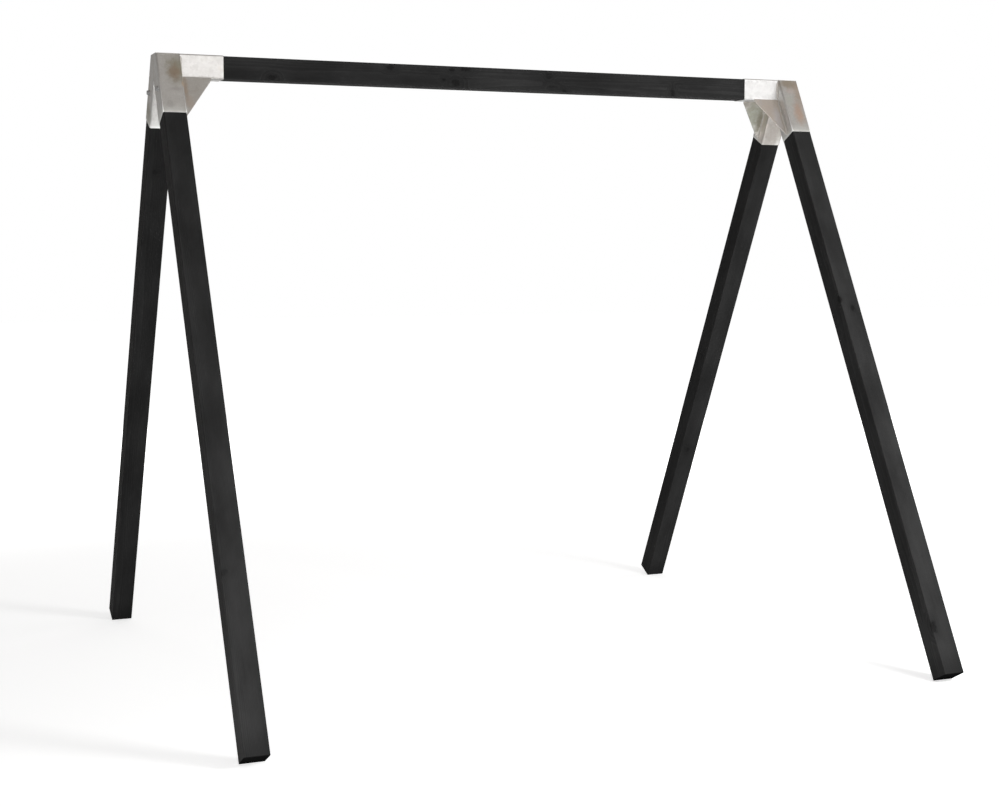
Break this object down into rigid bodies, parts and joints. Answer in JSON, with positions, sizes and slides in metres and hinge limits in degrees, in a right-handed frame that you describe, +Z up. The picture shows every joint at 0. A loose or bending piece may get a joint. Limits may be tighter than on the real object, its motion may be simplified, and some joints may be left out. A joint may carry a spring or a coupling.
{
  "type": "swing frame",
  "caption": "Free-standing A-frame swing stand: a square black timber beam on leaning square timber legs, joined by welded galvanised steel corner brackets with gussets.",
  "frame": {"origin": "on the floor, in the middle of the overall box, under the middle of the beam", "axes": "+X along the beam to the right as seen from the front, +Y to the back, +Z up"},
  "size_m": [2.9086, 2.6946, 2.4846],
  "materials": {
    "black_timber": "planed softwood with a matt black stain, grain and knots faintly visible",
    "galvanised_tube": "hot-dip galvanised, satin, softly mottled",
    "galvanised_plate": "hot-dip galvanised, satin, softly mottled",
    "galvanised_weld": "hot-dip galvanised weld bead, dull and rippled",
    "galvanised_screw": "galvanised, dull"
  },
  "bodies": {
    "root": {"top_beam": "black_timber", "left_front_leg": "black_timber", "left_back_leg": "black_timber", "right_front_leg": "black_timber", "right_back_leg": "black_timber", "left_beam_tube": "galvanised_tube", "right_beam_tube": "galvanised_tube", "left_front_leg_tube": "galvanised_tube", "left_back_leg_tube": "galvanised_tube", "right_front_leg_tube": "galvanised_tube", "right_back_leg_tube": "galvanised_tube", "left_cap_plate": "galvanised_plate", "right_cap_plate": "galvanised_plate", "left_front_gusset": "galvanised_plate", "left_back_gusset": "galvanised_plate", "right_front_gusset": "galvanised_plate", "right_back_gusset": "galvanised_plate", "left_weld_beads": "galvanised_weld", "right_weld_beads": "galvanised_weld", "left_leg_screws": "galvanised_screw", "right_leg_screws": "galvanised_screw", "left_leg_washers": "galvanised_screw", "right_leg_washers": "galvanised_screw", "beam_screws": "galvanised_screw", "beam_washers": "galvanised_screw"}
  },
  "joints": []
}
